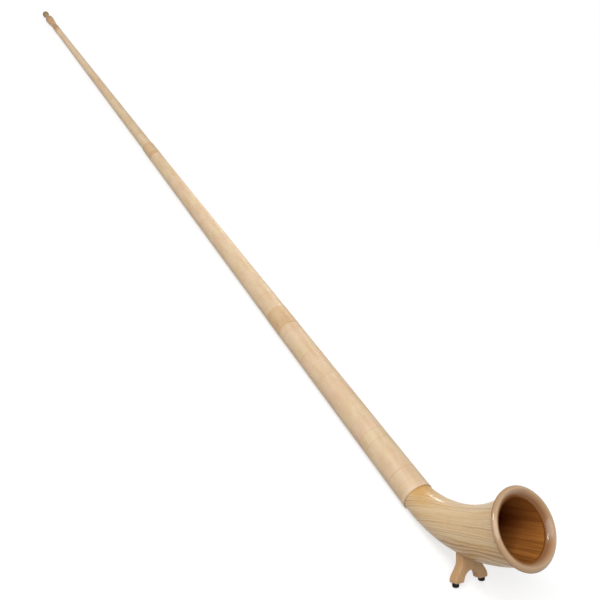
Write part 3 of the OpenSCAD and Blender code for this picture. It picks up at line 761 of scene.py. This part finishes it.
def receiver():
    """The receiver: a tenon, two beads, a bulb that swells by a cosine, and the shank's socket.

    It is darker beside the beads and towards its open end.
    """
    length = RECEIVER_LEN - COLLAR_W
    bulb = length - BULB_BACK
    way = np.linspace(0, 1, 40)
    bottom = length - SHANK_LEN - 2
    bottom_r = TIP_R - 2 * (SHANK_R - TIP_R) / SHANK_LEN
    profile = np.concatenate([
        [[TENON_R, 0], [WAIST_R, 0]],
        *[arc((WAIST_R, at), (BEAD_RISE, BEAD_HALF), -90, 90, 14) for at in BEADS],
        np.stack([swell(WAIST_R, BULB_R, way), BULB_FROM + (bulb - BULB_FROM) * way], 1),
        arc((OPEN_R, bulb), (BULB_R - OPEN_R, BULB_BACK), 8, 86, 14),
        [[OPEN_R - 0.3, length], [SHANK_R + 0.5, length], [SHANK_R + 0.05, length - 0.5],
         [bottom_r + 0.05, bottom], [BORE_R, bottom], [BORE_R, TENON_HOLE],
         [TENON_R, TENON_HOLE]]])
    z = profile[:, 1]
    off_bead = np.min([abs(z - at - 3) for at in BEADS], axis=0)
    stain = np.clip(1.3 - off_bead / 5, 0, 0.7) + np.clip((z - length + 40) / 40, 0, 0.45)
    turned_piece("receiver", profile, WINDING_TOP + COLLAR_W, brown_maple, "upper_section", stain)


def collar():
    """The collar between winding and receiver: rounded edges and a shallow hollow between them."""
    r = WAIST_R + 1.4
    profile = np.concatenate([
        [[TENON_R, 0], [r - 1, 0]], arc((r - 1, 1), (1, 1), -60, 0, 5),
        arc((r, COLLAR_W / 2), (0.9, 1), 260, 100, 7), arc((r - 1, COLLAR_W - 1), (1, 1), 0, 90, 6),
        [[TENON_R, COLLAR_W]]])
    turned_piece("receiver_collar", profile, WINDING_TOP, pale_maple, "upper_section",
                 np.zeros(len(profile)))


def mouthpiece():
    """The mouthpiece: a tapered shank, a bead, and a cup that swells by a cosine.

    It is darker at its lip. Inside, an elliptic hollow runs into the bore.
    """
    full = SHANK_LEN + MOUTHPIECE_OUT
    way = np.linspace(0, 1, 40)
    profile = np.concatenate([
        [[BACKBORE_R, 0], [TIP_R, 0], [SHANK_R, SHANK_LEN]],
        arc((NECK_R, SHANK_LEN + 5), (1, -3), 90, -60, 12),
        np.stack([swell(NECK_R, CUP_R, way), full - CUP_LEN + (CUP_LEN - 10) * way], 1),
        [[CUP_R, full - LIP]], arc((CUP_R - LIP / 2, full - LIP), (LIP / 2, LIP), 10, 90, 8),
        [[9.8, full]], arc((MOUTH_BORE_R, full - 1), (CUP_HOLLOW_R, -CUP_HOLLOW), 0, 80, 14),
        [[MOUTH_BORE_R, full - CUP_HOLLOW - 4]]])
    stain = np.clip((profile[:, 1] - full + 16) / 8, 0, 0.9)
    turned_piece("mouthpiece", profile, WINDING_TOP + RECEIVER_LEN - SHANK_LEN, olive_maple,
                 "mouthpiece", stain)


receiver()
collar()
mouthpiece()


# The brass joints

def joint(key, upper, lower, spigot_body, socket_body, seal_body):
    """One joint's spigot, socket and two rubber rings, sized from the bore of the upper section."""
    u = SECTIONS[upper][0]
    bore = cane_r(upper, u) - CANE_THICK - TUBE_WALL
    out = bore + SPIGOT_WALL
    grooves = []
    for at in SEAL_PLACES:
        low, high, deep = u - at - SEAL_GROOVE_HALF, u - at + SEAL_GROOVE_HALF, out - SEAL_GROOVE
        grooves += [[out, low], [deep, low], [deep, high], [out, high]]
    tip = u - SPIGOT_LEN
    spigot = [[bore, tip + 0.3], [bore + 0.3, tip], [out - 0.5, tip], [out, tip + 0.5], *grooves,
              [out, u + SPIGOT_HOLD], [bore, u + SPIGOT_HOLD]]
    inner = out + JOINT_FIT
    top = SECTIONS[lower][1]
    socket = [[inner, top - SOCKET_LEN], [inner + SOCKET_WALL, top - SOCKET_LEN],
              [inner + SOCKET_WALL, top], [inner + 0.4, top], [inner, top - 0.4]]
    for name, node, profile, body in (("spigot", "_spigot", spigot, spigot_body),
                                      ("socket", "_socket", socket, socket_body)):
        points, faces = lathe(profile, np.zeros(3), TUBE_UP)
        piece(f"{upper}_joint_{name}", points, faces, body, "brass", [brass], key + node, 30)
    rings = [lathe(arc((out - SEAL_SUNK, u - at), (SEAL_R, SEAL_R), 0, 345, 24), np.zeros(3),
                   TUBE_UP, 96) for at in SEAL_PLACES]
    points = np.concatenate([ring.reshape(-1, 3) for ring, _ in rings])
    faces = np.concatenate([rings[0][1], rings[1][1] + len(points) // 2])
    piece(f"{upper}_joint_rings", points, faces, seal_body, "black_rubber", [rubber],
          key + "_joint_seals", 60)


joint("lower", "middle", "lower", "middle_section", "bell_section", "lower_seals")
joint("upper", "upper", "middle", "upper_section", "middle_section", "upper_seals")

# The tube halves, dowels and screws keep the solids' own shape
for name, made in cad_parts.items():
    material = {"foot_dowels": foot_beech, "foot_screws": steel}.get(name, tube_spruce)
    if not made.hide_render:
        for place in made.material_slots:
            place.material = material


# Floor and surroundings

def seen(tree):
    """1 where the camera looks straight or by a reflection, otherwise 0."""
    rays = add(tree, "LightPath").outputs
    return add(tree, "Math", [rays["Is Camera Ray"], rays["Is Glossy Ray"]], operation="ADD",
               use_clamp=True)


# A paper floor that is white where it is seen, and lights the horn no more than grey paper does
mesh = bpy.data.meshes.new("floor")
mesh.from_pydata([(-60, -60, 0), (60, -60, 0), (60, 60, 0), (-60, 60, 0)], [], [(0, 1, 2, 3)])
floor = bpy.data.objects.new("floor", mesh)
scene.collection.objects.link(floor)
paper, tree = emptied("white_paper_floor")
matt = add(tree, "BsdfDiffuse", {"Color": (0.45, 0.45, 0.45, 1)})
glow = add(tree, "Emission",
           {"Strength": add(tree, "Math", [seen(tree), 0.64], operation="MULTIPLY")})
add(tree, "OutputMaterial", [add(tree, "AddShader", [matt, glow])])
mesh.materials.append(paper)

# Surroundings that are white where they are seen, and shine at a strength of 0.4 on the horn
world = bpy.data.worlds.new("studio")
scene.world = world
world.use_nodes = True
tree = world.node_tree
tree.nodes.clear()
level = add(tree, "Math", [seen(tree), 0.6, 0.4], operation="MULTIPLY_ADD")
add(tree, "OutputWorld", [add(tree, "Background", {"Color": (1, 1, 1, 1), "Strength": level})])
